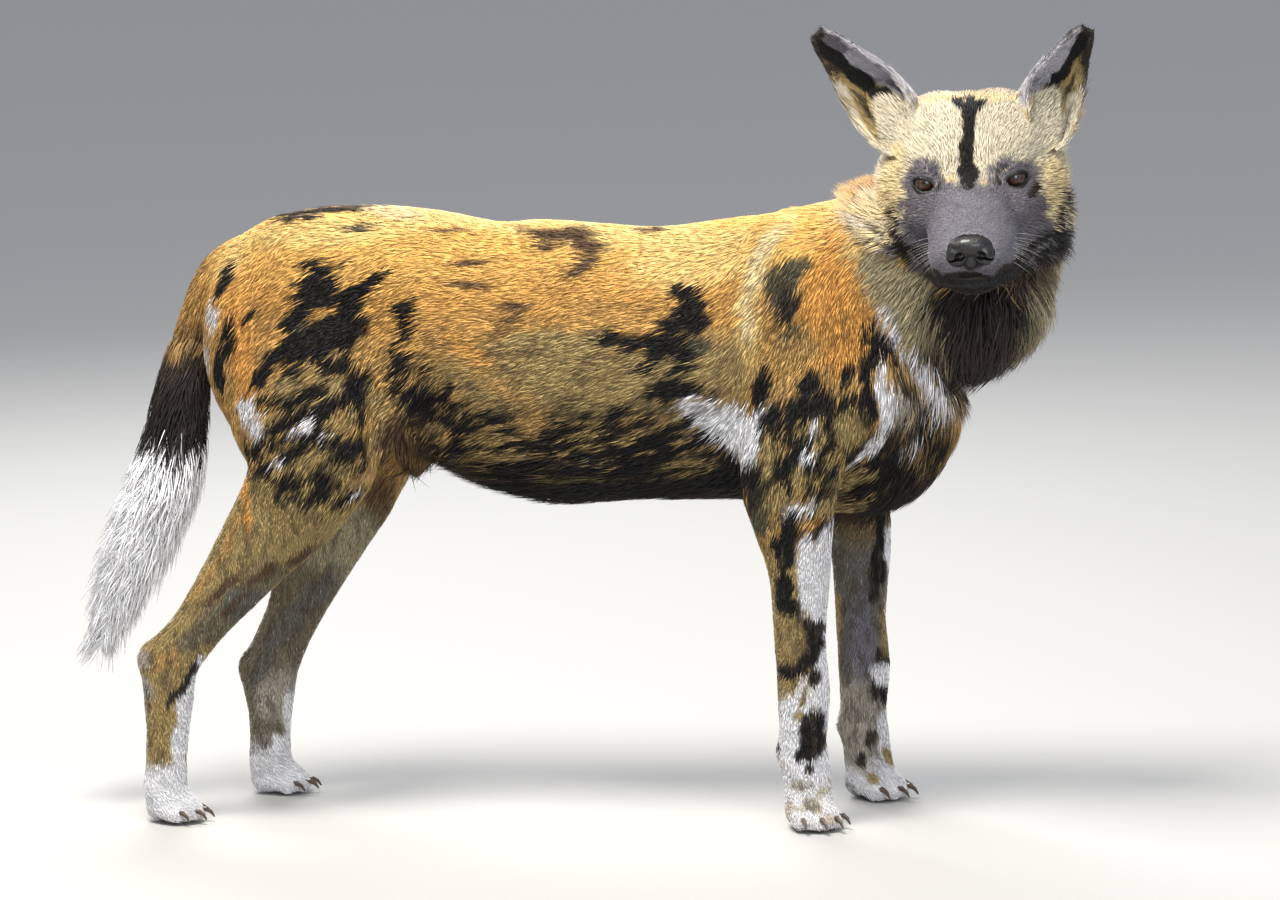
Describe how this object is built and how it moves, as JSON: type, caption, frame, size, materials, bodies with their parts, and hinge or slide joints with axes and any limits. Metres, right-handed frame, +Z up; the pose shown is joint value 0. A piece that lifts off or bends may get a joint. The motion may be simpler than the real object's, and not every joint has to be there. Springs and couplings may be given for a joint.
{
  "type": "african wild dog",
  "caption": "Life-size still figure of an African wild dog standing square with its head turned to the right, in a short blotched coat with a white tail brush.",
  "frame": {"origin": "on the floor under the middle of the whole animal's bounding box", "axes": "+X the way the body faces, towards the chest, +Y to the animal's left, +Z up; the head is turned to its right, towards -Y"},
  "size_m": [1.2039, 0.3701, 0.9138],
  "materials": {
    "coat": "short mottled fur, matt with a soft sheen",
    "white_brush": "long soft white fur",
    "bare_nose": "moist, finely pebbled skin",
    "eye": "wet and glossy",
    "horn": "dull dark horn"
  },
  "bodies": {
    "root": {"claw_fore_left_1": "horn", "claw_fore_left_2": "horn", "claw_fore_left_3": "horn", "claw_fore_left_4": "horn", "claw_fore_right_1": "horn", "claw_fore_right_2": "horn", "claw_fore_right_3": "horn", "claw_fore_right_4": "horn", "claw_hind_left_1": "horn", "claw_hind_left_2": "horn", "claw_hind_left_3": "horn", "claw_hind_left_4": "horn", "claw_hind_right_1": "horn", "claw_hind_right_2": "horn", "claw_hind_right_3": "horn", "claw_hind_right_4": "horn", "ear_left": "coat", "ear_right": "coat", "eye_left": "eye", "eye_right": "eye", "forearm_left": "coat", "forearm_right": "coat", "head": "coat", "hind_foot_left": "coat", "hind_foot_right": "coat", "neck": "coat", "nose": "bare_nose", "paw_fore_left": "coat", "paw_fore_right": "coat", "paw_hind_left": "coat", "paw_hind_right": "coat", "shank_left": "coat", "shank_right": "coat", "tail_base": "coat", "tail_brush": "white_brush", "thigh_left": "coat", "thigh_right": "coat", "torso": "coat", "upper_arm_left": "coat", "upper_arm_right": "coat"}
  },
  "joints": []
}
